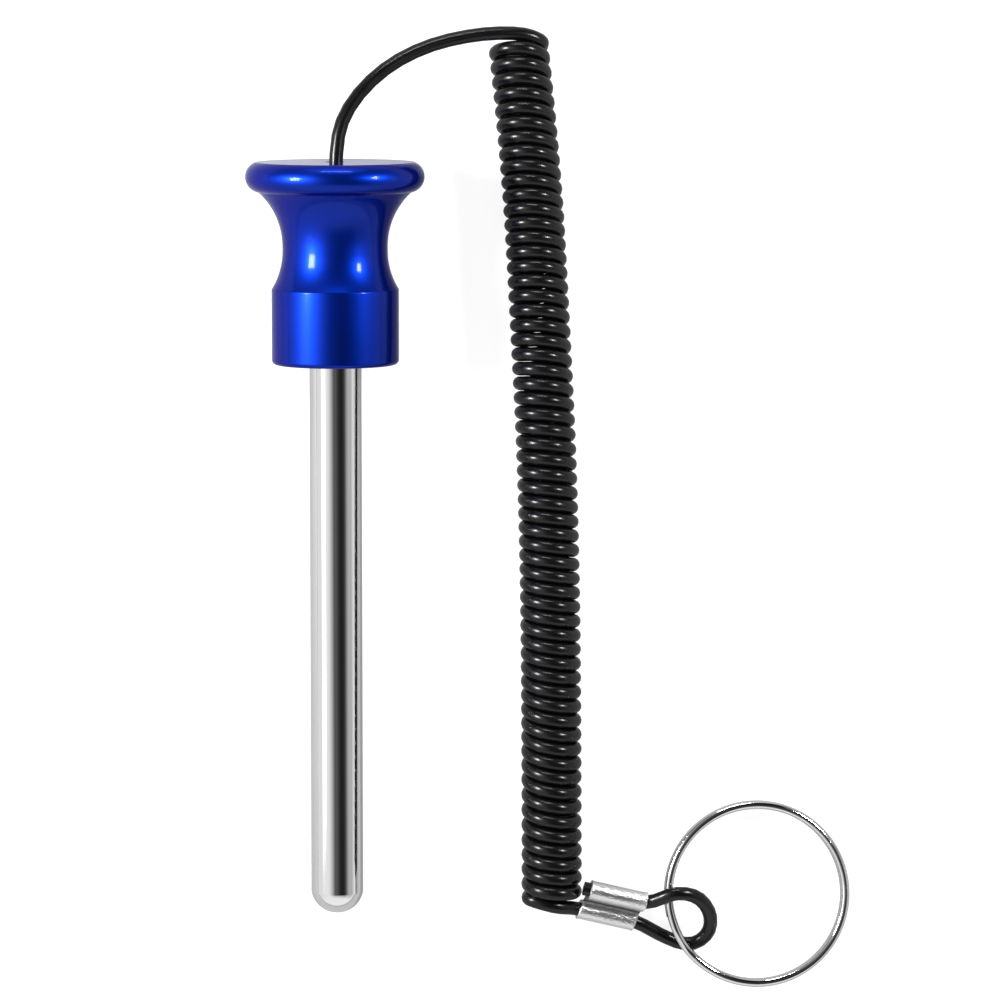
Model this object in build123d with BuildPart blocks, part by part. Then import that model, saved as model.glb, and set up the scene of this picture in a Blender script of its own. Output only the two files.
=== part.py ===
"""Weight stack pin with a coiled lanyard, lying at rest.

The pin lies on the rim of its knob and the domed end of its shank, along Y with the knob
towards +Y. The coiled cord lies beside it on the same surface. All lengths are millimetres.
"""

from build123d import *
import os
from math import asin, atan2, cos, hypot, pi, radians, sin, sqrt, tan

os.makedirs("parts", exist_ok=True)

# knob, turned from one bar
knob_height = 38.6
rim_radius = 17.1
rim_bead = 3.0  # radius of the rim's rounded edge
rim_drop = 2.8  # from the top face down to the widest point of the rim
crease_radius = 14.6  # where the flare runs in under the rim
waist_radius = 10.05
flare_radius = 13.9  # hollow curves above and below the waist
collar_radius = 12.15
collar_length = 14.5
collar_edge = 0.15
collar_corner = 0.9
cord_hole_clearance = 0.25
cord_hole_chamfer = 0.4
seat_depth = 26.0  # how far the shank sits in the knob

# shank
shank_radius = 5.0
shank_length = 106.2  # from the knob's shoulder to the tip
tip_height = 4.15
spigot_radius = 4.2  # the turned-down end that is pressed into the knob
spigot_chamfer = 0.5
seat_relief = 0.1  # how much wider the knob's countersink is than the shank's cone

# cord and the stop that holds it in the knob
cord_diameter = 2.7
stop_radius = 3.0
stop_length = 6.0
stop_blind_depth = 3.0

# coil
coil_radius = 5.8
coil_floor_gap = 0.02

# crimp sleeve, a tube pinched into two barrels
barrel_length = 11.2
barrel_wall = 0.5
barrel_spacing = 5.3
barrel_stagger = 0.9  # how far the upper barrel sits further along
web_thickness = 1.1

# split ring, two turns of round wire
ring_outer_radius = 18.0
ring_wire = 1.6
ring_turn_gap = 0.05
ring_step_angle = 26.0  # the stretch where the wire steps from one turn to the other
ring_end_gap = 3.0  # between each cut end and the step, in degrees

cord_radius = cord_diameter / 2

# how the pin lies: the rim's round edge and the edge of the domed tip touch the surface
bead_centre_radius = rim_radius - rim_bead
bead_centre_height = knob_height - rim_drop
top_edge_radius = bead_centre_radius + sqrt(rim_bead**2 - rim_drop**2)
dome_edge = tip_height - shank_length
tip_ball = (shank_radius**2 + tip_height**2) / (2 * tip_height)
lie_run = bead_centre_height - dome_edge
lie_rise = bead_centre_radius - shank_radius
lie_angle = atan2(lie_rise, lie_run) + asin(rim_bead / hypot(lie_run, lie_rise))
front_reach = knob_height * cos(lie_angle) + top_edge_radius * sin(lie_angle)
back_reach = (shank_length - tip_ball) * cos(lie_angle) + tip_ball
shoulder_y = (back_reach - front_reach) / 2
shoulder_z = shank_radius * cos(lie_angle) - dome_edge * sin(lie_angle)

pin_direction = Vector(0, cos(lie_angle), sin(lie_angle))
pin_plane = Plane(
    origin=(0, shoulder_y, shoulder_z),
    x_dir=(1, 0, 0),
    z_dir=(0, -sin(lie_angle), cos(lie_angle)),
)
pin_axis = Axis(pin_plane.origin, pin_direction)


def pin_point(height):
    """A point on the pin's axis, that far above the knob's shoulder."""
    return pin_plane.origin + pin_direction * height


def corner_radii(points):
    """The largest arc that fits each corner of a cord's route."""
    radii = []
    for before, here, after in zip(points, points[1:], points[2:]):
        run = min((here - before).length, (after - here).length)
        turn = radians((here - before).get_angle(after - here))
        radii.append(0.45 * run / tan(turn / 2))
    return radii


def route_of(points):
    """Straight runs joined by tangent arcs, from one end of a cord to the other."""
    radii = corner_radii(points)
    print("radii", [round(radius, 1) for radius in radii])
    return FilletPolyline(*points, radius=radii)


# knob profile, half a section from the axis outwards
flare_centre_radius = waist_radius + flare_radius
crease_height = bead_centre_height - sqrt(rim_bead**2 - (crease_radius - bead_centre_radius) ** 2)
collar_top_radius = collar_radius - collar_edge
waist_low = collar_length + sqrt(flare_radius**2 - (flare_centre_radius - collar_top_radius) ** 2)
waist_high = crease_height - sqrt(flare_radius**2 - (flare_centre_radius - crease_radius) ** 2)
cord_hole_radius = cord_radius + cord_hole_clearance
stop_seat = seat_depth + stop_length
shank_cone = shank_radius - spigot_radius
countersink = shank_cone + seat_relief

with BuildPart() as knob:
    with BuildSketch(pin_plane):
        with BuildLine():
            Polyline((0, knob_height), (0, 0), (collar_radius - collar_corner, 0))
            TangentArc(
                (collar_radius - collar_corner, 0), (collar_radius, collar_corner), tangent=(1, 0)
            )
            Polyline(
                (collar_radius, collar_corner),
                (collar_radius, collar_length - collar_edge),
                (collar_top_radius, collar_length),
            )
            TangentArc((waist_radius, waist_low), (collar_top_radius, collar_length), tangent=(0, -1))
            Line((waist_radius, waist_low), (waist_radius, waist_high))
            TangentArc((waist_radius, waist_high), (crease_radius, crease_height), tangent=(0, 1))
            ThreePointArc(
                (crease_radius, crease_height),
                (rim_radius, bead_centre_height),
                (top_edge_radius, knob_height),
            )
            Line((top_edge_radius, knob_height), (0, knob_height))
        make_face()
    revolve(axis=pin_axis)
    with BuildSketch(pin_plane):
        with BuildLine():
            Polyline(
                (0, 0),
                (spigot_radius + countersink, 0),
                (spigot_radius, countersink),
                (spigot_radius, seat_depth),
                (0, seat_depth),
                close=True,
            )
        make_face()
        with Locations((0, seat_depth)):
            Rectangle(stop_radius, stop_length, align=(Align.MIN, Align.MIN))
        with BuildLine():
            Polyline(
                (0, stop_seat),
                (cord_hole_radius, stop_seat),
                (cord_hole_radius, knob_height - cord_hole_chamfer),
                (cord_hole_radius + cord_hole_chamfer, knob_height),
                (0, knob_height),
                close=True,
            )
        make_face()
    revolve(axis=pin_axis, mode=Mode.SUBTRACT)

with BuildPart() as shank:
    with BuildSketch(pin_plane):
        with BuildLine():
            Polyline(
                (0, -shank_length),
                (0, seat_depth),
                (spigot_radius - spigot_chamfer, seat_depth),
                (spigot_radius, seat_depth - spigot_chamfer),
                (spigot_radius, shank_cone),
                (shank_radius, 0),
                (shank_radius, dome_edge),
            )
            TangentArc((0, -shank_length), (shank_radius, dome_edge), tangent=(1, 0))
        make_face()
    revolve(axis=pin_axis)

# closed ferrule crimped on the cord's end, held between the shank and the cord hole
with BuildPart() as cord_stop:
    with BuildSketch(pin_plane):
        with Locations((0, seat_depth)):
            Rectangle(stop_radius, stop_length, align=(Align.MIN, Align.MIN))
        with Locations((0, stop_seat)):
            Rectangle(cord_radius, stop_blind_depth, align=(Align.MIN, Align.MAX), mode=Mode.SUBTRACT)
    revolve(axis=pin_axis)

# coil, the outer shape of its turns, lying beside the pin
coil_z = coil_radius + coil_floor_gap
coil_points = [
    Vector(35.0, 94.3, coil_z),
    Vector(37.4, 72.0, coil_z),
    Vector(39.0, 44.0, coil_z),
    Vector(40.7, 10.0, coil_z),
    Vector(41.4, -30.0, coil_z),
    Vector(41.4, -69.2, coil_z),
]
with BuildPart() as coil:
    with BuildLine() as coil_route:
        route_of(coil_points)
    with BuildSketch(Plane(origin=coil_points[0], z_dir=coil_points[1] - coil_points[0])):
        Circle(coil_radius)
    sweep(path=coil_route.line)

# lead, from the stop out of the knob and over to the coil
lead_points = [
    pin_point(stop_seat - stop_blind_depth),
    pin_point(knob_height + 1.0),
    Vector(1.4, 80.5, 17.3),
    Vector(7.8, 88.4, 15.9),
    Vector(16.6, 93.7, 13.3),
    Vector(26.9, 96.3, 10.9),
    Vector(35.7, 96.6, 9.5),
    Vector(39.7, 93.8, 7.4),
    Vector(39.0, 88.9, 5.7),
]
with BuildPart() as lead:
    with BuildLine() as lead_route:
        route_of(lead_points)
    with BuildSketch(Plane(origin=lead_points[0], z_dir=pin_direction)):
        Circle(cord_radius)
    sweep(path=lead_route.line)

# crimp sleeve: where its lower barrel starts and ends, and how the pair is rolled
barrel_start = Vector(46.5, -72.0, 5.7)
barrel_slope = Vector(10.6, -2.5, -1.4)
barrel_roll = 35.0  # degrees that the upper barrel is turned up from flat
barrel_direction = barrel_slope.normalized()
barrel_side = Vector(0, 0, 1).cross(barrel_direction).normalized()
barrel_up = barrel_direction.cross(barrel_side)
pair_direction = barrel_side * cos(radians(barrel_roll)) + barrel_up * sin(radians(barrel_roll))
barrel_radius = cord_radius + barrel_wall
barrel_end = barrel_start + barrel_direction * barrel_length
pair_offset = pair_direction * barrel_spacing + barrel_direction * barrel_stagger
second_start = barrel_start + pair_offset
second_end = barrel_end + pair_offset
barrel_planes = [
    Plane(origin=barrel_start, x_dir=pair_direction, z_dir=barrel_direction),
    Plane(origin=second_start, x_dir=pair_direction, z_dir=barrel_direction),
]
web_plane = Plane(
    origin=barrel_start, x_dir=barrel_direction, z_dir=barrel_direction.cross(pair_direction)
)

with BuildPart() as crimp_sleeve:
    with BuildSketch(*barrel_planes):
        Circle(barrel_radius)
    extrude(amount=barrel_length)
    with BuildSketch(web_plane):
        with BuildLine():
            Polyline(
                (0, 0),
                (barrel_length, 0),
                (barrel_length + barrel_stagger, barrel_spacing),
                (barrel_stagger, barrel_spacing),
                close=True,
            )
        make_face()
    extrude(amount=web_thickness / 2, both=True)
    with BuildSketch(*barrel_planes):
        Circle(cord_radius)
    extrude(amount=barrel_length, mode=Mode.SUBTRACT)

# tail, from the coil through the sleeve, round the loop and back into the sleeve
barrel_lead_in = 1.0
cut_end = 1.2  # how far the cord's cut end stands out of the sleeve
tail_points = [
    Vector(37.4, -64.5, 5.8),
    Vector(37.3, -70.1, 8.0),
    Vector(42.3, -71.5, 8.6),
    barrel_start - barrel_direction * barrel_lead_in,
    barrel_end + barrel_direction * barrel_lead_in,
    Vector(62.7, -77.6, 1.9),
    Vector(68.2, -79.8, 1.4),
    Vector(72.0, -77.3, 2.2),
    Vector(72.3, -73.0, 5.0),
    Vector(69.7, -69.3, 7.8),
    Vector(64.9, -68.4, 9.8),
    second_end + barrel_direction * barrel_lead_in,
    second_start - barrel_direction * cut_end,
]
with BuildPart() as tail:
    with BuildLine() as tail_route:
        route_of(tail_points)
    with BuildSketch(Plane(origin=tail_points[0], z_dir=tail_points[1] - tail_points[0])):
        Circle(cord_radius)
    sweep(path=tail_route.line)

# split ring, lying on the surface at its far side and on the loop's lower strand at the near one
ring_centre = (81.1, -69.3)
ring_bearing = 195.6  # direction from the ring's centre to where it turns in the loop, in degrees
ring_tilt = 5.1  # degrees
ring_floor_gap = 0.02
step_centre = 15.0  # degrees round from the turning point, over the lower strand
ring_path_radius = ring_outer_radius - ring_wire / 2
turn_offset = (ring_wire + ring_turn_gap) / 2
ring_z = (
    ring_floor_gap
    + ring_wire / 2
    + turn_offset * cos(radians(ring_tilt))
    + ring_path_radius * sin(radians(ring_tilt))
)
ring_toward = Vector(cos(radians(ring_bearing)), sin(radians(ring_bearing)), 0)
ring_across = ring_toward * cos(radians(ring_tilt)) + Vector(0, 0, sin(radians(ring_tilt)))
ring_normal = Vector(0, 0, cos(radians(ring_tilt))) - ring_toward * sin(radians(ring_tilt))
ring_plane = Plane(origin=(*ring_centre, ring_z), x_dir=ring_across, z_dir=ring_normal)
ring_axis = Axis(ring_plane.origin, ring_plane.z_dir)
step_start = step_centre - ring_step_angle / 2
step_end = step_centre + ring_step_angle / 2
turn_angle = 360 - ring_step_angle - ring_end_gap


def ring_point(angle, height):
    """A point on the wire's centreline, that many degrees round and that far above the middle."""
    across = ring_path_radius * cos(radians(angle))
    along = ring_path_radius * sin(radians(angle))
    return ring_plane.from_local_coords(Vector(across, along, height))


def ring_tangent(angle):
    """The direction that the wire runs in at that angle."""
    ahead = ring_plane.from_local_coords(Vector(-sin(radians(angle)), cos(radians(angle)), 0))
    return (ahead - ring_plane.origin).normalized()


def wire_section(angle, height):
    """The plane across the wire there."""
    return Plane(
        origin=ring_point(angle, height), x_dir=ring_plane.z_dir, z_dir=ring_tangent(angle)
    )


step_spans = 6
step_points = []
for index in range(step_spans + 1):
    share = index / step_spans
    height = turn_offset * cos(pi * share)
    step_points.append(ring_point(step_start + ring_step_angle * share, height))

with BuildPart() as split_ring:
    for section in (
        wire_section(step_end + ring_end_gap, turn_offset),
        wire_section(step_end, -turn_offset),
    ):
        with BuildSketch(section):
            Circle(ring_wire / 2)
        revolve(axis=ring_axis, revolution_arc=turn_angle)
    with BuildLine() as step_route:
        Spline(*step_points, tangents=(ring_tangent(step_start), ring_tangent(step_end)))
    with BuildSketch(wire_section(step_start, turn_offset)):
        Circle(ring_wire / 2)
    sweep(path=step_route.line)

for name, tube, route, radius in (
    ("lead", lead, lead_route, cord_radius),
    ("tail", tail, tail_route, cord_radius),
    ("coil", coil, coil_route, coil_radius),
):
    length = sum(edge.length for edge in route.edges())
    ratio = tube.part.volume / (pi * radius**2 * length)
    print(name, round(length, 1), "mm, volume ratio", round(ratio, 4))

for name, piece in (
    ("knob", knob),
    ("shank", shank),
    ("cord_stop", cord_stop),
    ("lead", lead),
    ("coil", coil),
    ("tail", tail),
    ("crimp_sleeve", crimp_sleeve),
    ("split_ring", split_ring),
):
    piece.part.label = name
    export_step(piece.part, f"parts/{name}.step")
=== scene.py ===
from math import asin, atan2, cos, hypot, pi, radians, sin, sqrt

import bmesh
import bpy
from mathutils import Matrix, Vector


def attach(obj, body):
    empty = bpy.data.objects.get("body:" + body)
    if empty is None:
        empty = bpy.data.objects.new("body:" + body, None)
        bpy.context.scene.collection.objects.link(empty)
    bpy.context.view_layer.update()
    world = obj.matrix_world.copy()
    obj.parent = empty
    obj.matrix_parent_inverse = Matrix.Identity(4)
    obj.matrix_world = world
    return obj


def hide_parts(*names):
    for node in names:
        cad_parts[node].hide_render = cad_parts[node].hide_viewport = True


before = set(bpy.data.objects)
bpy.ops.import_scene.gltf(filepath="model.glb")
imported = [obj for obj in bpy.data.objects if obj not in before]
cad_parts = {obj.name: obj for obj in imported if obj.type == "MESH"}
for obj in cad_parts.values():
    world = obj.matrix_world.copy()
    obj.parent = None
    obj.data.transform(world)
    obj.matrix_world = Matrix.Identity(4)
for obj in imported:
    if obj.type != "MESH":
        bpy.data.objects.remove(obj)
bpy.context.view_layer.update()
scene = bpy.context.scene
scene.view_settings.view_transform = "Standard"
mm = 0.001


# how the pin lies, from the same sizes as the part's source
knob = {
    "height": 38.6,
    "rimRadius": 17.1,
    "rimBead": 3.0,
    "rimDrop": 2.8,
    "creaseRadius": 14.6,
    "waistRadius": 10.05,
    "flareRadius": 13.9,
    "collarRadius": 12.15,
    "collarLength": 14.5,
    "collarEdge": 0.6,
    "collarCorner": 0.9,
    "holeRadius": 1.6,
    "holeChamfer": 0.4,
    "stopRadius": 3.0,
    "stopLength": 6.0,
    "stopBlindDepth": 3.0,  # how far the cord reaches into its stop
    "countersink": 0.9,
    "segments": 192,
    "rimSteps": 40,
    "flareSteps": 20,
    "waistSteps": 16,
    "edgeSteps": 6,
    "cornerSteps": 12,
    "sharpFrom": 9,  # degrees between two faces from which their edge is sharp
}
shank = {
    "radius": 5.0,
    "length": 106.2,
    "tipHeight": 4.15,
    "spigotRadius": 4.2,
    "spigotLength": 26.0,
    "spigotChamfer": 0.5,
    "coneLength": 0.8,
    "segments": 128,
    "domeSteps": 24,
    "sharpFrom": 9,
}
beadRadius = knob["rimRadius"] - knob["rimBead"]
beadHeight = knob["height"] - knob["rimDrop"]
topEdge = beadRadius + sqrt(knob["rimBead"] ** 2 - knob["rimDrop"] ** 2)
domeEdge = shank["tipHeight"] - shank["length"]
domeRadius = (shank["radius"] ** 2 + shank["tipHeight"] ** 2) / (2 * shank["tipHeight"])
lieRun = beadHeight - domeEdge
lieRise = beadRadius - shank["radius"]
lieAngle = atan2(lieRise, lieRun) + asin(knob["rimBead"] / hypot(lieRun, lieRise))
frontReach = knob["height"] * cos(lieAngle) + topEdge * sin(lieAngle)
backReach = (shank["length"] - domeRadius) * cos(lieAngle) + domeRadius
shoulder = Vector(
    (0, (backReach - frontReach) / 2, shank["radius"] * cos(lieAngle) - domeEdge * sin(lieAngle))
)
pinDirection = Vector((0, cos(lieAngle), sin(lieAngle)))


def pinPoint(height):
    return shoulder + pinDirection * height


# camera, at the photograph's angle
camera = {
    "aim": (31.44, 6.95, 8.0),
    "distance": 1008.0,
    "lean": 1.1,  # degrees towards the knob
    "lens": 188.7,
    "clip": (0.05, 20),  # metres
}
cameraData = bpy.data.cameras.new("camera")
cameraData.lens = camera["lens"]
cameraData.clip_start, cameraData.clip_end = camera["clip"]
cameraObject = bpy.data.objects.new("camera", cameraData)
cameraLean = radians(camera["lean"])
cameraBack = Vector((0, sin(cameraLean), cos(cameraLean)))
cameraObject.location = (Vector(camera["aim"]) + cameraBack * camera["distance"]) * mm
cameraObject.rotation_euler = (-cameraLean, 0, 0)
scene.collection.objects.link(cameraObject)
scene.camera = cameraObject
print("camera placed")


# the cord, one spline from the stop in the knob to the cut end in the crimp sleeve
cord = {
    "diameter": 2.7,
    "length": 1.845,  # metres
    "coilRadius": 5.86,
    "coilHeight": 5.87,
    "pitch": 2.757,
    "turns": 59.5,
    "pointsPerTurn": 16,
    "startDegrees": 90,  # from the top of the coil round towards +X
    "firstTurn": 94.46,  # where the turns begin along the pin
    "leadOut": 1.0,  # how far the cord runs straight out of the knob
    "resolution": 3,
    "centreResolution": 24,
    "bevelResolution": 5,
    # by share of the coil: degrees that a turn leans along the pin
    "turnLean": [(0, 17), (0.1, 15), (0.3, 9), (0.52, 0), (0.85, -14), (1, -10)],
    # degrees that a turn's right side drops
    "turnSlant": [
        (0, 2.5),
        (0.16, 3.4),
        (0.26, 0.6),
        (0.38, 3.2),
        (0.54, 3.2),
        (0.61, 4.6),
        (0.7, 4.3),
        (0.84, 6.3),
        (0.92, 4.2),
        (1, 0),
    ],
    # how far a turn slips along the coil
    "turnSlip": [
        (0, 0),
        (0.1, 0.45),
        (0.26, 0.1),
        (0.36, 0.35),
        (0.52, 0.9),
        (0.7, 0.45),
        (0.86, 0.05),
        (0.93, 0.6),
        (1, 0.5),
    ],
}
crimp = {
    "start": (46.5, -72.0, 5.7),
    "slope": (10.6, -2.5, -1.4),
    "roll": 35.0,
    "length": 11.2,
    "wall": 0.5,
    "spacing": 5.3,
    "stagger": 0.9,  # how far the upper barrel sits further along
    "leadIn": 1.0,
    "straight": 2.5,  # the cord runs straight from this far inside each barrel
    "cutEnd": 1.2,
}
barrelStart = Vector(crimp["start"])
barrelDirection = Vector(crimp["slope"]).normalized()
barrelSide = Vector((0, 0, 1)).cross(barrelDirection).normalized()
barrelUp = barrelDirection.cross(barrelSide)
barrelRoll = radians(crimp["roll"])
pairDirection = barrelSide * cos(barrelRoll) + barrelUp * sin(barrelRoll)
barrelEnd = barrelStart + barrelDirection * crimp["length"]
pairOffset = pairDirection * crimp["spacing"] + barrelDirection * crimp["stagger"]
secondStart = barrelStart + pairOffset
secondEnd = barrelEnd + pairOffset

leadPoints = [
    pinPoint(shank["spigotLength"] + knob["stopLength"] - knob["stopBlindDepth"]),
    pinPoint(knob["height"] + cord["leadOut"]),
    Vector((1.4, 80.5, 17.3)),
    Vector((7.8, 88.4, 15.9)),
    Vector((16.6, 93.7, 13.3)),
    Vector((26.9, 96.3, 10.9)),
    Vector((35.7, 96.6, 9.5)),
    Vector((39.4, 95.2, 8.0)),
]
coilPoints = [
    Vector((across, along, cord["coilHeight"]))
    for across, along in (
        (34.85, 95.6),
        (37.4, 72.0),
        (39.0, 44.0),
        (40.7, 10.0),
        (41.4, -30.0),
        (41.4, -69.2),
    )
]
tailPoints = [
    Vector((37.3, -70.1, 8.0)),
    Vector((42.3, -71.5, 8.6)),
    barrelStart - barrelDirection * crimp["leadIn"],
    barrelStart + barrelDirection * crimp["straight"],
    barrelEnd - barrelDirection * crimp["straight"],
    barrelEnd + barrelDirection * crimp["leadIn"],
    Vector((62.7, -77.6, 1.9)),
    Vector((68.2, -79.8, 1.4)),
    Vector((72.0, -77.3, 2.2)),
    Vector((72.3, -73.0, 5.0)),
    Vector((69.7, -69.3, 7.8)),
    Vector((64.9, -68.4, 9.8)),
    secondEnd + barrelDirection * crimp["leadIn"],
    secondEnd - barrelDirection * crimp["straight"],
    secondStart - barrelDirection * crimp["cutEnd"],
]


def splineCurve(name, points, resolution):
    curve = bpy.data.curves.new(name, "CURVE")
    curve.dimensions = "3D"
    curve.resolution_u = resolution
    spline = curve.splines.new("NURBS")
    spline.points.add(len(points) - 1)
    for place, point in zip(spline.points, points):
        place.co = (*(point * mm), 1)
    spline.order_u = 3
    spline.use_endpoint_u = True
    return curve


def splineLine(points, resolution):
    curve = splineCurve("line", points, resolution)
    holder = bpy.data.objects.new("line", curve)
    mesh = bpy.data.meshes.new_from_object(holder)
    line = [vertex.co / mm for vertex in mesh.vertices]
    bpy.data.objects.remove(holder)
    bpy.data.curves.remove(curve)
    bpy.data.meshes.remove(mesh)
    return line


def between(stops, share):
    for (lowShare, low), (highShare, high) in zip(stops, stops[1:]):
        if share <= highShare:
            return low + (high - low) * (share - lowShare) / (highShare - lowShare)
    return stops[-1][1]


def coilTurns():
    centre = splineLine(coilPoints, cord["centreResolution"])
    reach = [0.0]
    for before, here in zip(centre, centre[1:]):
        reach.append(reach[-1] + (here - before).length)
    count = round(cord["turns"] * cord["pointsPerTurn"])
    step = 2 * pi / cord["pointsPerTurn"]
    radius = (cord["coilRadius"] - cord["diameter"] / 2) / cos(step / 2)
    first = coilPoints[0].y - cord["firstTurn"]
    points = []
    at = 0
    for index in range(count + 1):
        share = index / count
        slip = between(cord["turnSlip"], share)
        along = first + cord["pitch"] * index / cord["pointsPerTurn"] + slip
        while at < len(centre) - 2 and reach[at + 1] < along:
            at += 1
        run = (centre[at + 1] - centre[at]).normalized()
        middle = centre[at] + run * (along - reach[at])
        right = run.cross(Vector((0, 0, 1))) * -1
        angle = radians(cord["startDegrees"]) + step * index
        back = sin(radians(between(cord["turnLean"], share))) * cos(angle)
        back -= sin(radians(between(cord["turnSlant"], share))) * sin(angle)
        points.append(
            middle + (right * sin(angle) + Vector((0, 0, cos(angle))) - run * back) * radius
        )
    return points


cordCurve = splineCurve("cord", leadPoints + coilTurns() + tailPoints, cord["resolution"])
cordCurve.bevel_depth = cord["diameter"] / 2 * mm
cordCurve.bevel_resolution = cord["bevelResolution"]
cordCurve.use_fill_caps = True
cordPiece = bpy.data.objects.new("coiled_cord", cordCurve)
scene.collection.objects.link(cordPiece)
print("cord laid")


# shader helpers
def addNode(tree, kind, inputs=(), **settings):
    node = tree.nodes.new(kind)
    for name, value in settings.items():
        setattr(node, name, value)
    for name, value in dict(inputs).items():
        node.inputs[name].default_value = value
    return node


def join(tree, outlet, node, name):
    tree.links.new(outlet, node.inputs[name])
    return node


def calculate(tree, operation, first, second=None, third=None):
    node = addNode(tree, "ShaderNodeMath", operation=operation)
    for slot, value in enumerate((first, second, third)):
        if isinstance(value, bpy.types.NodeSocket):
            join(tree, value, node, slot)
        elif value is not None:
            node.inputs[slot].default_value = value
    return node.outputs[0]


def fadeIn(tree, value, start, end):
    fade = addNode(
        tree,
        "ShaderNodeMapRange",
        {"From Min": start, "From Max": end},
        interpolation_type="SMOOTHSTEP",
    )
    return join(tree, value, fade, "Value").outputs[0]


def newTree(treeKind, name, inputs, outputs):
    tree = bpy.data.node_groups.new(name, treeKind)
    for label, kind, value in inputs:
        socket = tree.interface.new_socket(name=label, in_out="INPUT", socket_type=kind)
        if value is not None:
            socket.default_value = value
    for label, kind in outputs:
        tree.interface.new_socket(name=label, in_out="OUTPUT", socket_type=kind)
    return tree, tree.nodes.new("NodeGroupInput"), tree.nodes.new("NodeGroupOutput")


def makeLatheGrain():
    tree, given, result = newTree(
        "ShaderNodeTree",
        "latheGrain",
        [
            ("Position", "NodeSocketVector", None),
            ("Lines", "NodeSocketFloat", None),
            ("Low", "NodeSocketFloat", None),
            ("High", "NodeSocketFloat", None),
        ],
        [("Height", "NodeSocketFloat"), ("Roughness", "NodeSocketFloat")],
    )
    split = join(tree, given.outputs["Position"], addNode(tree, "ShaderNodeSeparateXYZ"), 0)
    flat = addNode(tree, "ShaderNodeCombineXYZ")
    join(tree, split.outputs["X"], flat, "X")
    join(tree, split.outputs["Z"], flat, "Z")
    out = join(tree, flat.outputs[0], addNode(tree, "ShaderNodeVectorMath", operation="LENGTH"), 0)
    place = calculate(tree, "ADD", split.outputs["Y"], out.outputs["Value"])
    lines = addNode(
        tree, "ShaderNodeTexNoise", {"Detail": 4.0, "Roughness": 0.7}, noise_dimensions="1D"
    )
    join(tree, place, lines, "W")
    join(tree, given.outputs["Lines"], lines, "Scale")
    cloud = addNode(tree, "ShaderNodeTexNoise", {"Scale": 140.0, "Detail": 3.0})
    join(tree, given.outputs["Position"], cloud, "Vector")
    half = calculate(tree, "MULTIPLY", cloud.outputs[0], 0.5)
    mixed = calculate(tree, "MULTIPLY_ADD", lines.outputs[0], 0.5, half)
    spread = addNode(tree, "ShaderNodeMapRange", {"From Min": 0.3, "From Max": 0.7})
    join(tree, mixed, spread, "Value")
    join(tree, given.outputs["Low"], spread, "To Min")
    join(tree, given.outputs["High"], spread, "To Max")
    join(tree, spread.outputs[0], result, "Roughness")
    join(tree, lines.outputs[0], result, "Height")
    return tree


def makeHandlingMarks():
    tree, given, result = newTree(
        "ShaderNodeTree",
        "handlingMarks",
        [
            ("Position", "NodeSocketVector", None),
            ("Scratches", "NodeSocketFloat", 900.0),
            ("Smudges", "NodeSocketFloat", 60.0),
        ],
        [("Scratch", "NodeSocketFloat"), ("Smudge", "NodeSocketFloat")],
    )
    bend = addNode(tree, "ShaderNodeTexNoise", {"Scale": 90.0, "Detail": 2.0})
    join(tree, given.outputs["Position"], bend, "Vector")
    reach = (0.004, 0.004, 0.004)
    push = addNode(tree, "ShaderNodeVectorMath", {1: reach}, operation="MULTIPLY_ADD")
    join(tree, bend.outputs["Color"], push, 0)
    join(tree, given.outputs["Position"], push, 2)
    cells = addNode(tree, "ShaderNodeTexVoronoi", feature="DISTANCE_TO_EDGE")
    join(tree, push.outputs[0], cells, "Vector")
    join(tree, given.outputs["Scratches"], cells, "Scale")
    thin = addNode(
        tree,
        "ShaderNodeMapRange",
        {"From Min": 0.0, "From Max": 0.03, "To Min": 1.0, "To Max": 0.0},
    )
    join(tree, cells.outputs["Distance"], thin, "Value")
    patch = addNode(tree, "ShaderNodeTexNoise", {"Detail": 3.0, "Roughness": 0.55})
    join(tree, given.outputs["Position"], patch, "Vector")
    join(tree, given.outputs["Smudges"], patch, "Scale")
    some = addNode(tree, "ShaderNodeMapRange", {"From Min": 0.5, "From Max": 0.68})
    join(tree, patch.outputs[0], some, "Value")
    both = calculate(tree, "MULTIPLY", thin.outputs[0], some.outputs[0])
    join(tree, both, result, "Scratch")
    join(tree, some.outputs[0], result, "Smudge")
    return tree


latheGrain = makeLatheGrain()
handlingMarks = makeHandlingMarks()


def newMaterial(name, surface):
    material = bpy.data.materials.new(name)
    material.use_nodes = True
    tree = material.node_tree
    shader = tree.nodes["Principled BSDF"]
    for label, value in surface.items():
        shader.inputs[label].default_value = value
    return material, tree, shader


def patternPlace(tree, location=(0, 0, 0), rotation=(0, 0, 0)):
    place = addNode(tree, "ShaderNodeTexCoord")
    mapping = addNode(
        tree,
        "ShaderNodeMapping",
        {"Location": location, "Rotation": rotation},
        vector_type="TEXTURE",
    )
    return join(tree, place.outputs["Object"], mapping, "Vector")


def addBump(tree, height, shader, depth, under=None):
    bump = addNode(tree, "ShaderNodeBump", {"Distance": depth, "Strength": 1.0})
    join(tree, height, bump, "Height")
    if under:
        join(tree, under.outputs[0], bump, "Normal")
    join(tree, bump.outputs[0], shader, "Normal")
    return bump


def addRamp(tree, value, shader, stops):
    ramp = addNode(tree, "ShaderNodeValToRGB")
    for element, (position, colour) in zip(ramp.color_ramp.elements, stops):
        element.position = position
        element.color = (*colour, 1)
    join(tree, value, ramp, 0)
    join(tree, ramp.outputs[0], shader, "Base Color")


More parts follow.
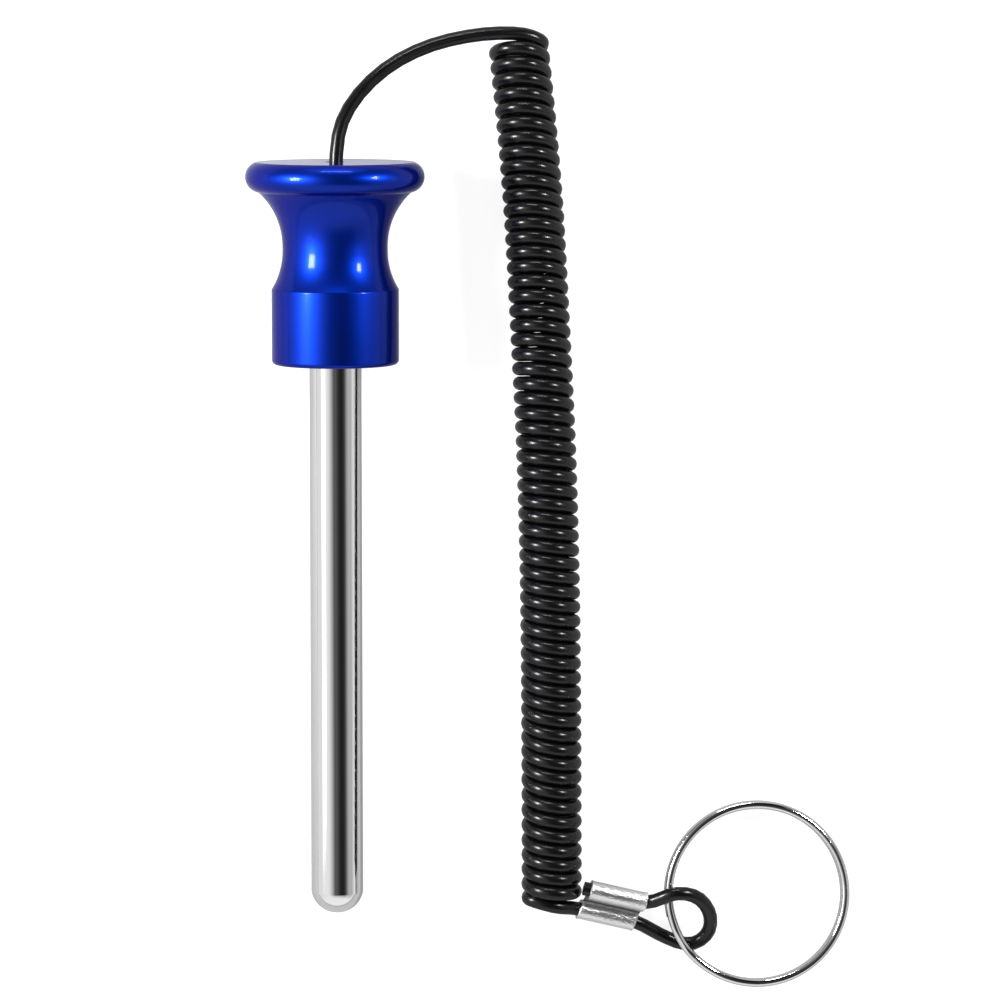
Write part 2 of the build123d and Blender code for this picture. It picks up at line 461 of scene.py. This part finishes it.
def addGrain(tree, place, shader, lines, low, high, depth):
    values = {"Lines": lines, "Low": low, "High": high}
    grain = addNode(tree, "ShaderNodeGroup", values, node_tree=latheGrain)
    join(tree, place.outputs[0], grain, "Position")
    join(tree, grain.outputs["Roughness"], shader, "Roughness")
    addBump(tree, grain.outputs["Height"], shader, depth)


def addMarks(tree, place, shader, low, high, depth, under=None):
    marks = addNode(tree, "ShaderNodeGroup", node_tree=handlingMarks)
    join(tree, place.outputs[0], marks, "Position")
    gloss = addNode(tree, "ShaderNodeMapRange", {"To Min": low, "To Max": high})
    join(tree, marks.outputs["Smudge"], gloss, "Value")
    join(tree, gloss.outputs[0], shader, "Roughness")
    addBump(tree, marks.outputs["Scratch"], shader, depth, under)


def makeAnodised():
    material, tree, shader = newMaterial(
        "blue_anodised_aluminium",
        {
            "Base Color": (0.001, 0.021, 0.31, 1),
            "Metallic": 1.0,
            "Specular Tint": (0.0, 0.16, 0.7, 1),
            "Coat Weight": 1.0,
            "Coat Roughness": 0.1,
            "Coat IOR": 1.2,
        },
    )
    place = patternPlace(tree, shoulder * mm, (lieAngle, 0, 0))
    addGrain(tree, place, shader, lines=9000, low=0.37, high=0.43, depth=0.0000015)
    tint = addNode(tree, "ShaderNodeTexNoise", {"Scale": 35.0, "Detail": 2.0})
    join(tree, place.outputs[0], tint, "Vector")
    stops = [(0.35, (0.001, 0.019, 0.29)), (0.65, (0.0015, 0.022, 0.33))]
    addRamp(tree, tint.outputs[0], shader, stops)
    return material


def makeChrome():
    material, tree, shader = newMaterial(
        "bright_plated_steel", {"Base Color": (0.80, 0.80, 0.81, 1), "Metallic": 1.0}
    )
    place = patternPlace(tree, shoulder * mm, (lieAngle, 0, 0))
    addGrain(tree, place, shader, lines=3500, low=0.05, high=0.10, depth=0.000001)
    return material


def makeCoating():
    material, tree, shader = newMaterial(
        "black_cord_coating",
        {
            "Base Color": (0.003, 0.003, 0.0035, 1),
            "Roughness": 0.22,
            "IOR": 1.5,
            "Specular IOR Level": 0.34,
        },
    )
    place = patternPlace(tree)
    wave = addNode(tree, "ShaderNodeTexNoise", {"Scale": 420.0, "Detail": 3.0})
    join(tree, place.outputs[0], wave, "Vector")
    gloss = addNode(
        tree,
        "ShaderNodeMapRange",
        {"From Min": 0.3, "From Max": 0.7, "To Min": 0.22, "To Max": 0.27},
    )
    join(tree, wave.outputs[0], gloss, "Value")
    join(tree, gloss.outputs[0], shader, "Roughness")
    addBump(tree, wave.outputs[0], shader, depth=0.000006)
    return material


def makeCrimpMetal():
    material, tree, shader = newMaterial(
        "satin_crimp_aluminium", {"Base Color": (0.78, 0.78, 0.79, 1), "Metallic": 1.0}
    )
    upward = barrelDirection.cross(pairDirection)
    turn = Matrix((pairDirection, upward, barrelDirection)).transposed()
    place = patternPlace(tree, (barrelStart + pairOffset / 2) * mm, turn.to_euler())
    speckle = addNode(tree, "ShaderNodeTexNoise", {"Scale": 2400.0, "Detail": 2.0})
    join(tree, place.outputs[0], speckle, "Vector")
    rough = addBump(tree, speckle.outputs[0], shader, depth=0.00013)
    # painted shade in the valley between the barrels: the base colour fades to near black within
    # 0.8 mm of the valley's middle, where shade falls
    split = join(tree, place.outputs[0], addNode(tree, "ShaderNodeSeparateXYZ"), 0)
    aside = calculate(tree, "ABSOLUTE", split.outputs["X"])
    valleyShadeFade = fadeIn(tree, aside, start=0, end=0.0008)
    # the near-black stop is the painted valley shade, the light stop the sleeve's own colour
    addRamp(tree, valleyShadeFade, shader, [(0, (0.03, 0.03, 0.03)), (1, (0.78, 0.78, 0.79))])
    addMarks(tree, place, shader, low=0.3, high=0.42, depth=0.00002, under=rough)
    return material


def makeNickel():
    material, tree, shader = newMaterial(
        "bright_plated_wire", {"Base Color": (0.72, 0.72, 0.72, 1), "Metallic": 1.0}
    )
    addMarks(tree, patternPlace(tree), shader, low=0.08, high=0.2, depth=0.000006)
    return material


anodised = makeAnodised()
chrome = makeChrome()
coating = makeCoating()
crimpMetal = makeCrimpMetal()
nickel = makeNickel()
cordCurve.materials.append(coating)
print("materials mixed")


# geometry node helpers
def newGeometryTree(name, inputs):
    inputs = [(label, kind, None) for label, kind in inputs]
    return newTree("GeometryNodeTree", name, inputs, [("Geometry", "NodeSocketGeometry")])


def finishTree(tree, geometry, given, result):
    whole = join(tree, geometry, addNode(tree, "GeometryNodeRealizeInstances"), 0)
    dressed = join(tree, whole.outputs[0], addNode(tree, "GeometryNodeSetMaterial"), "Geometry")
    join(tree, given.outputs["Material"], dressed, "Material")
    join(tree, dressed.outputs[0], result, "Geometry")


def runTree(name, tree, mesh, values):
    holder = bpy.data.objects.new(name, mesh)
    scene.collection.objects.link(holder)
    modifier = holder.modifiers.new("shape", "NODES")
    modifier.node_group = tree
    for socket in tree.interface.items_tree:
        if socket.in_out == "INPUT" and socket.name in values:
            modifier[socket.identifier] = values[socket.name]
    bpy.context.view_layer.update()
    evaluated = holder.evaluated_get(bpy.context.evaluated_depsgraph_get())
    made = bpy.data.meshes.new_from_object(evaluated)
    made.name = name
    holder.modifiers.remove(modifier)
    holder.data = made
    return holder


def outward(mesh):
    work = bmesh.new()
    work.from_mesh(mesh)
    bmesh.ops.remove_doubles(work, verts=work.verts, dist=1e-7)
    bmesh.ops.recalc_face_normals(work, faces=work.faces)
    work.to_mesh(mesh)
    work.free()


def smoothBut(mesh, angle):
    mesh.shade_smooth()
    mesh.set_sharp_from_angle(angle=radians(angle))


# turned pieces: a profile of radius and height, carried round the axis
def makeTurningTree():
    tree, given, result = newGeometryTree(
        "turnedProfile",
        [
            ("Geometry", "NodeSocketGeometry"),
            ("Segments", "NodeSocketInt"),
            ("Material", "NodeSocketMaterial"),
        ],
    )
    counted = addNode(tree, "GeometryNodeAttributeDomainSize", component="MESH")
    join(tree, given.outputs["Geometry"], counted, "Geometry")
    rows = counted.outputs["Point Count"]
    around = calculate(tree, "ADD", given.outputs["Segments"], 1)
    grid = addNode(tree, "GeometryNodeMeshGrid", {"Size X": 1.0, "Size Y": 1.0})
    join(tree, around, grid, "Vertices X")
    join(tree, rows, grid, "Vertices Y")
    index = addNode(tree, "GeometryNodeInputIndex").outputs[0]
    column = calculate(tree, "DIVIDE", calculate(tree, "ADD", index, 0.5), rows)
    column = calculate(tree, "FLOOR", column)
    row = calculate(tree, "SUBTRACT", index, calculate(tree, "MULTIPLY", column, rows))
    sample = addNode(tree, "GeometryNodeSampleIndex", data_type="FLOAT_VECTOR", domain="POINT")
    join(tree, given.outputs["Geometry"], sample, "Geometry")
    join(tree, addNode(tree, "GeometryNodeInputPosition").outputs[0], sample, "Value")
    join(tree, row, sample, "Index")
    profile = join(tree, sample.outputs[0], addNode(tree, "ShaderNodeSeparateXYZ"), 0)
    turn = calculate(tree, "MULTIPLY", column, 2 * pi)
    turn = calculate(tree, "DIVIDE", turn, given.outputs["Segments"])
    place = addNode(tree, "ShaderNodeCombineXYZ")
    radius = profile.outputs["X"]
    join(tree, calculate(tree, "MULTIPLY", radius, calculate(tree, "SINE", turn)), place, "X")
    join(tree, profile.outputs["Y"], place, "Y")
    join(tree, calculate(tree, "MULTIPLY", radius, calculate(tree, "COSINE", turn)), place, "Z")
    shaped = join(tree, grid.outputs["Mesh"], addNode(tree, "GeometryNodeSetPosition"), "Geometry")
    join(tree, place.outputs[0], shaped, "Position")
    welded = addNode(tree, "GeometryNodeMergeByDistance", {"Distance": 0.000001})
    join(tree, shaped.outputs[0], welded, "Geometry")
    finishTree(tree, welded.outputs[0], given, result)
    return tree


def arcPoints(centre, radius, start, end, steps):
    points = []
    for index in range(steps + 1):
        angle = start + (end - start) * index / steps
        points.append((centre[0] + radius * cos(angle), centre[1] + radius * sin(angle)))
    return points


turningTree = makeTurningTree()


def turnPiece(name, profile, shape, material):
    mesh = bpy.data.meshes.new(name)
    vertices = [(radius * mm, height * mm, 0) for radius, height in profile]
    mesh.from_pydata(vertices, [(index, index + 1) for index in range(len(vertices) - 1)], [])
    values = {"Segments": shape["segments"], "Material": material}
    piece = runTree(name, turningTree, mesh, values)
    turn = Matrix.Rotation(lieAngle, 4, "X")
    piece.data.transform(Matrix.Translation(shoulder * mm) @ turn)
    outward(piece.data)
    smoothBut(piece.data, shape["sharpFrom"])
    return piece


def knobProfile():
    flare = knob["flareRadius"]
    flareCentre = knob["waistRadius"] + flare
    creaseRun = knob["creaseRadius"] - beadRadius
    creaseHeight = beadHeight - sqrt(knob["rimBead"] ** 2 - creaseRun**2)
    edge = knob["collarEdge"]
    low = asin((flareCentre - knob["collarRadius"] + edge) / (flare + edge))
    waistLow = knob["collarLength"] + flare * cos(low)
    high = asin((flareCentre - knob["creaseRadius"]) / flare)
    waistHigh = creaseHeight - flare * cos(high)
    creaseAngle = atan2(creaseHeight - beadHeight, creaseRun)
    topAngle = atan2(knob["rimDrop"], topEdge - beadRadius)
    corner = knob["collarCorner"]
    seat = shank["spigotLength"]
    stopEnd = seat + knob["stopLength"]
    points = [
        (shank["spigotRadius"], seat),
        (knob["stopRadius"], seat),
        (knob["stopRadius"], stopEnd),
        (knob["holeRadius"], stopEnd),
        (knob["holeRadius"], knob["height"] - knob["holeChamfer"]),
        (knob["holeRadius"] + knob["holeChamfer"], knob["height"]),
        (topEdge, knob["height"]),
    ]
    bead = (beadRadius, beadHeight)
    points += arcPoints(bead, knob["rimBead"], topAngle, creaseAngle, knob["rimSteps"])[1:]
    upper = (flareCentre, waistHigh)
    points += arcPoints(upper, flare, pi / 2 + high, pi, knob["flareSteps"])[1:]
    lower = (flareCentre, waistLow)
    points += arcPoints(lower, flare, pi, 3 * pi / 2 - low, knob["waistSteps"])
    edgeCentre = (knob["collarRadius"] - edge, knob["collarLength"] - edge * cos(low))
    points += arcPoints(edgeCentre, edge, pi / 2 - low, 0, knob["edgeSteps"])[1:]
    cornerCentre = (knob["collarRadius"] - corner, corner)
    points += arcPoints(cornerCentre, corner, 0, -pi / 2, knob["cornerSteps"])
    points += [
        (shank["spigotRadius"] + knob["countersink"], 0),
        (shank["spigotRadius"], knob["countersink"]),
        (shank["spigotRadius"], seat),
    ]
    return points


def shankProfile():
    dome = asin(shank["radius"] / domeRadius)
    centre = (0, domeRadius - shank["length"])
    points = arcPoints(centre, domeRadius, -pi / 2, dome - pi / 2, shank["domeSteps"])
    points += [
        (shank["radius"], 0),
        (shank["spigotRadius"], shank["coneLength"]),
        (shank["spigotRadius"], shank["spigotLength"] - shank["spigotChamfer"]),
        (shank["spigotRadius"] - shank["spigotChamfer"], shank["spigotLength"]),
        (0, shank["spigotLength"]),
    ]
    return points


knobPiece = turnPiece("anodised_knob", knobProfile(), knob, anodised)
shankPiece = turnPiece("plated_shank", shankProfile(), shank, chrome)
print("knob and shank turned")


# crimp sleeve: a figure-eight tube with small lips at its ends
crimpShape = {
    "waistFillet": 1.12,
    "barrelSteps": 36,
    "filletSteps": 6,
    "boreSteps": 8,  # along the side of each bore that faces the other
    "lip": 0.12,
    "lipFade": 0.02,
    "lipLength": 0.45,
    "edge": 0.1,
    "sharpFrom": 30,
}


# how high the fillet's centre is, and where round the second barrel the fillet touches it
def filletPlace(radius, fillet):
    half = crimp["spacing"] / 2
    rise = sqrt((radius + fillet) ** 2 - half**2)
    return half, rise, atan2(rise, -half)


def sleeveOutline(radius, fillet):
    half, rise, touch = filletPlace(radius, fillet)
    barrel, curve = crimpShape["barrelSteps"], crimpShape["filletSteps"]
    second = arcPoints((half, 0), radius, -touch, touch, barrel)
    upper = arcPoints((0, rise), fillet, touch - pi, -touch, curve)[1:-1]
    first = arcPoints((-half, 0), radius, pi - touch, pi + touch, barrel)
    lower = arcPoints((0, -rise), fillet, touch, pi - touch, curve)[1:-1]
    return second, upper, first, lower


def makeSleeve():
    outer = cord["diameter"] / 2 + crimp["wall"]
    stations = [
        (0, crimpShape["lip"] - crimpShape["edge"]),
        (crimpShape["edge"], crimpShape["lip"]),
        (crimpShape["lipLength"], crimpShape["lipFade"]),
        (2 * crimpShape["lipLength"], 0),
    ]
    stations += [(crimp["length"] - place, swell) for place, swell in reversed(stations)]
    vertices, faces = [], []
    middle = barrelStart + pairOffset / 2
    across = pairDirection
    upward = barrelDirection.cross(across)

    def addRing(points, along):
        start = len(vertices)
        for right, up in points:
            shift = max(-0.5, min(0.5, right / crimp["spacing"])) * crimp["stagger"]
            vertices.append(
                (middle + across * right + upward * up + barrelDirection * (along + shift)) * mm
            )
        return list(range(start, len(vertices)))

    def bridge(one, two):
        for index in range(len(one)):
            after = (index + 1) % len(one)
            faces.append((one[index], one[after], two[after], two[index]))

    fillet = crimpShape["waistFillet"]
    rings = []
    for along, swell in stations:
        parts = sleeveOutline(outer + swell, fillet - swell)
        rings.append(addRing([point for part in parts for point in part], along))
    for one, two in zip(rings, rings[1:]):
        bridge(one, two)
    secondCount, upperCount, firstCount = (len(part) for part in parts[:3])
    firstFrom = secondCount + upperCount
    firstTo = firstFrom + firstCount
    bores = []
    bore = cord["diameter"] / 2
    half, _, touch = filletPlace(outer, fillet)
    for ring, along in ((rings[0], 0), (rings[-1], crimp["length"])):
        holes = []
        for side, start in ((1, -touch), (-1, pi - touch)):
            centre = (side * half, 0)
            end = start + 2 * touch
            outline = arcPoints(centre, bore, start, end, crimpShape["barrelSteps"])
            rest = arcPoints(centre, bore, end, start + 2 * pi, crimpShape["boreSteps"])[1:-1]
            holes.append((addRing(outline, along), addRing(rest, along)))
        rims = (ring[:secondCount], ring[firstFrom:firstTo])
        webs = (ring[secondCount:firstFrom], ring[firstTo:])
        for rim, (opening, closing) in zip(rims, holes):
            for index in range(len(rim) - 1):
                faces.append((rim[index], opening[index], opening[index + 1], rim[index + 1]))
        (openA, closeA), (openB, closeB) = holes
        rimA, rimB = rims
        faces.append(
            [rimA[-1], openA[-1], *closeA, openA[0], rimA[0]]
            + webs[1][::-1]
            + [rimB[-1], openB[-1], *closeB, openB[0], rimB[0]]
            + webs[0][::-1]
        )
        bores.append([opening + closing for opening, closing in holes])
    for one, two in zip(*bores):
        bridge(one, two)
    mesh = bpy.data.meshes.new("crimp_sleeve_shell")
    mesh.from_pydata(vertices, [], faces)
    return mesh


sleevePiece = bpy.data.objects.new("crimp_sleeve_shell", makeSleeve())
scene.collection.objects.link(sleevePiece)
outward(sleevePiece.data)
smoothBut(sleevePiece.data, crimpShape["sharpFrom"])
sleevePiece.data.materials.append(crimpMetal)
print("sleeve crimped")


# split ring: two turns of wire that step past each other
ring = {
    "centre": (81.1, -69.3),
    "bearing": 195.6,  # degrees, from the ring's centre to where it turns in the loop
    "tilt": 5.1,
    "outerRadius": 18.0,
    "wire": 1.6,
    "turnGap": 0.05,
    "stepAngle": 26.0,
    "stepCentre": 15.0,
    "endGap": 3.0,  # degrees from each cut end to the step
    "floorGap": 0.02,
    "points": 360,
    "sides": 20,
    "sharpFrom": 40,
}


def makeRingTree():
    tree, given, result = newGeometryTree(
        "wireTurns",
        [
            ("Radius", "NodeSocketFloat"),
            ("Wire Radius", "NodeSocketFloat"),
            ("Turn Offset", "NodeSocketFloat"),
            ("First Angle", "NodeSocketFloat"),
            ("Last Angle", "NodeSocketFloat"),
            ("Step From", "NodeSocketFloat"),
            ("Step To", "NodeSocketFloat"),
            ("Points", "NodeSocketInt"),
            ("Sides", "NodeSocketInt"),
            ("Material", "NodeSocketMaterial"),
        ],
    )
    line = addNode(tree, "GeometryNodeCurvePrimitiveLine", {"End": (1, 0, 0)})
    fine = join(tree, line.outputs[0], addNode(tree, "GeometryNodeResampleCurve"), "Curve")
    join(tree, given.outputs["Points"], fine, "Count")
    share = addNode(tree, "GeometryNodeSplineParameter").outputs["Factor"]
    sweep = calculate(tree, "SUBTRACT", given.outputs["Last Angle"], given.outputs["First Angle"])
    angle = calculate(tree, "MULTIPLY_ADD", share, sweep, given.outputs["First Angle"])
    step = addNode(tree, "ShaderNodeMapRange", {"To Min": 0.0, "To Max": pi})
    join(tree, angle, step, "Value")
    join(tree, given.outputs["Step From"], step, "From Min")
    join(tree, given.outputs["Step To"], step, "From Max")
    place = addNode(tree, "ShaderNodeCombineXYZ")
    for axis, operation, turned, reach in (
        ("X", "COSINE", angle, "Radius"),
        ("Y", "SINE", angle, "Radius"),
        ("Z", "COSINE", step.outputs[0], "Turn Offset"),
    ):
        wave = calculate(tree, operation, turned)
        join(tree, calculate(tree, "MULTIPLY", wave, given.outputs[reach]), place, axis)
    wound = join(tree, fine.outputs[0], addNode(tree, "GeometryNodeSetPosition"), "Geometry")
    join(tree, place.outputs[0], wound, "Position")
    section = addNode(tree, "GeometryNodeCurvePrimitiveCircle")
    join(tree, given.outputs["Sides"], section, "Resolution")
    join(tree, given.outputs["Wire Radius"], section, "Radius")
    tube = addNode(tree, "GeometryNodeCurveToMesh", {"Fill Caps": True})
    join(tree, wound.outputs[0], tube, "Curve")
    join(tree, section.outputs[0], tube, "Profile Curve")
    finishTree(tree, tube.outputs[0], given, result)
    return tree


ringTilt = radians(ring["tilt"])
ringBearing = radians(ring["bearing"])
ringRadius = ring["outerRadius"] - ring["wire"] / 2
turnOffset = (ring["wire"] + ring["turnGap"]) / 2
ringHeight = ring["floorGap"] + ring["wire"] / 2
ringHeight += turnOffset * cos(ringTilt) + ringRadius * sin(ringTilt)
ringToward = Vector((cos(ringBearing), sin(ringBearing), 0))
ringAcross = ringToward * cos(ringTilt) + Vector((0, 0, sin(ringTilt)))
ringNormal = Vector((0, 0, cos(ringTilt))) - ringToward * sin(ringTilt)
ringAlong = ringNormal.cross(ringAcross)
stepStart = ring["stepCentre"] - ring["stepAngle"] / 2
stepEnd = ring["stepCentre"] + ring["stepAngle"] / 2
ringPiece = runTree(
    "split_ring_wire",
    makeRingTree(),
    bpy.data.meshes.new("split_ring_wire"),
    {
        "Radius": ringRadius * mm,
        "Wire Radius": ring["wire"] / 2 * mm,
        "Turn Offset": turnOffset * mm,
        "First Angle": radians(stepEnd + ring["endGap"] - 360),
        "Last Angle": radians(stepStart + 360 - ring["endGap"]),
        "Step From": radians(stepStart),
        "Step To": radians(stepEnd),
        "Points": ring["points"],
        "Sides": ring["sides"],
        "Material": nickel,
    },
)
ringPlace = Matrix((ringAcross, ringAlong, ringNormal)).transposed().to_4x4()
ringPlace.translation = Vector((*ring["centre"], ringHeight)) * mm
ringPiece.data.transform(ringPlace)
outward(ringPiece.data)
smoothBut(ringPiece.data, ring["sharpFrom"])
print("split ring wound")


# pieces ride on their bodies and stand for their nodes
for piece, body, slotName, nodes in (
    (knobPiece, "pin", "anodised_knob", ["knob"]),
    (shankPiece, "pin", "plated_shank", ["shank"]),
    (cordPiece, "pin", "coated_cord", ["lead", "coil", "tail"]),
    (sleevePiece, "pin", "crimp_metal", ["crimp_sleeve"]),
    (ringPiece, "ring", "plated_ring", ["split_ring"]),
):
    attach(piece, body)
    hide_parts(*nodes)
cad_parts["cord_stop"].data.materials.clear()
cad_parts["cord_stop"].data.materials.append(crimpMetal)
print("pieces ride on their bodies")


# stage: a pale floor that glows, a striped studio and four lamps, in metres
stage = {
    "floorRadius": 4.0,
    "floorCorners": 64,
    "floorHeight": -0.00002,
    "floorColour": 0.34,
    "glowNear": 0.84,
    "glowFar": 0.94,
    "glowReach": (0.2, 0.8),  # metres from the middle over which the glow grows
    "floorInGloss": 0.14,
    "stripes": [  # degrees round from overhead towards +X, and how bright
        (-100, 1.0),
        (-80, 0.85),
        (-44, 0.95),
        (-36, 0.92),
        (-29, 0.8),
        (-20, 0.53),
        (-16, 0.38),
        (-11, 0.23),
        (-7, 0.1),
        (1, 0.11),
        (8, 0.06),
        (14, 0.035),
        (19, 0.018),
        (32, 0.02),
        (40, 0.055),
        (46, 0.17),
        (52, 0.38),
        (64, 0.56),
        (69, 0.45),
        (75, 0.6),
        (86, 0.9),
        (100, 1.0),
    ],
    "patchFrom": (-0.8, -0.5),  # where the stripes fade in and out along the pin
    "patchTo": (0.85, 0.97),
    "aheadFrom": (0.08, 0.36),  # where the light from ahead of the knob grows weaker
    "aheadLevel": 0.4,
    "lampTarget": (0.02, 0, 0.01),
    "lamps": [  # degrees towards +X and +Y, distance, width, length, radiance
        ("left_softbox", -56, 3, 0.6, 0.20, 0.45, 1.0),
        ("left_core", -50.5, 11, 0.42, 0.09, 0.12, 68.0),
        ("right_core", 51, 20, 0.42, 0.055, 0.08, 82.0),
        ("top_strip", 0, 63, 0.5, 0.22, 0.025, 34.0),
    ],
}


def makeFloor():
    mesh = bpy.data.meshes.new("floor")
    count = stage["floorCorners"]
    rim = arcPoints((0, 0), stage["floorRadius"], 0, 2 * pi, count)[:-1]
    corners = [(right, ahead, stage["floorHeight"]) for right, ahead in rim]
    mesh.from_pydata(corners, [], [list(range(count))])
    material = bpy.data.materials.new("pale_floor")
    material.use_nodes = True
    tree = material.node_tree
    tree.nodes.clear()
    shown = addNode(tree, "ShaderNodeOutputMaterial")
    matt = addNode(tree, "ShaderNodeBsdfDiffuse", {"Color": (stage["floorColour"],) * 3 + (1,)})
    glow = addNode(tree, "ShaderNodeEmission", {"Color": (1, 1, 1, 1)})
    path = addNode(tree, "ShaderNodeLightPath")
    mirrored = calculate(
        tree, "MAXIMUM", path.outputs["Is Glossy Ray"], path.outputs["Is Transmission Ray"]
    )
    mirrored = calculate(tree, "MULTIPLY", mirrored, stage["floorInGloss"])
    place = addNode(tree, "ShaderNodeTexCoord")
    away = addNode(tree, "ShaderNodeVectorMath", operation="LENGTH")
    join(tree, place.outputs["Object"], away, 0)
    grown = fadeIn(tree, away.outputs["Value"], *stage["glowReach"])
    level = calculate(
        tree, "MULTIPLY_ADD", grown, stage["glowFar"] - stage["glowNear"], stage["glowNear"]
    )
    seen = calculate(tree, "MULTIPLY_ADD", path.outputs["Is Camera Ray"], level, mirrored)
    join(tree, seen, glow, "Strength")
    both = addNode(tree, "ShaderNodeAddShader")
    join(tree, matt.outputs[0], both, 0)
    join(tree, glow.outputs[0], both, 1)
    join(tree, both.outputs[0], shown, "Surface")
    mesh.materials.append(material)
    floor = bpy.data.objects.new("floor", mesh)
    scene.collection.objects.link(floor)


def makeWorld():
    world = bpy.data.worlds.new("studio")
    world.use_nodes = True
    scene.world = world
    tree = world.node_tree
    sky = tree.nodes["Background"]
    direction = addNode(tree, "ShaderNodeTexCoord")
    axes = join(tree, direction.outputs["Generated"], addNode(tree, "ShaderNodeSeparateXYZ"), 0)
    angle = calculate(tree, "ARCTAN2", axes.outputs["X"], axes.outputs["Z"])
    share = calculate(tree, "MULTIPLY_ADD", angle, 0.5 / pi, 0.5)
    ramp = addNode(tree, "ShaderNodeValToRGB")
    stops = ramp.color_ramp.elements
    stops[0].color = (1, 1, 1, 1)
    for turn, level in stage["stripes"]:
        stops.new(turn / 360 + 0.5).color = (level, level, level, 1)
    join(tree, share, ramp, 0)
    fadeFrom = fadeIn(tree, axes.outputs["Y"], *stage["patchFrom"])
    fadeTo = fadeIn(tree, axes.outputs["Y"], *stage["patchTo"])
    striped = calculate(tree, "SUBTRACT", fadeFrom, fadeTo)
    bright = calculate(tree, "SUBTRACT", ramp.outputs[0], 1)
    bright = calculate(tree, "MULTIPLY_ADD", bright, striped, 1)
    ahead = fadeIn(tree, axes.outputs["Y"], *stage["aheadFrom"])
    ahead = calculate(tree, "SUBTRACT", ahead, fadeTo)
    dim = calculate(tree, "MULTIPLY_ADD", ahead, stage["aheadLevel"] - 1, 1)
    bright = calculate(tree, "MULTIPLY", bright, dim)
    path = addNode(tree, "ShaderNodeLightPath")
    bright = calculate(tree, "MAXIMUM", bright, path.outputs["Is Camera Ray"])
    join(tree, bright, sky, "Color")
    sky.inputs["Strength"].default_value = 1.0


def addLamp(name, across, ahead, distance, width, length, radiance):
    lamp = bpy.data.lights.new(name, "AREA")
    lamp.shape = "RECTANGLE"
    lamp.size = width
    lamp.size_y = length
    lamp.energy = radiance * pi * width * length
    holder = bpy.data.objects.new(name, lamp)
    toward = Matrix.Rotation(radians(across), 3, "Y") @ Matrix.Rotation(radians(-ahead), 3, "X")
    holder.matrix_world = toward.to_4x4()
    holder.location = Vector(stage["lampTarget"]) + toward @ Vector((0, 0, distance))
    scene.collection.objects.link(holder)


makeFloor()
makeWorld()
for lampValues in stage["lamps"]:
    addLamp(*lampValues)
print("stage lit")
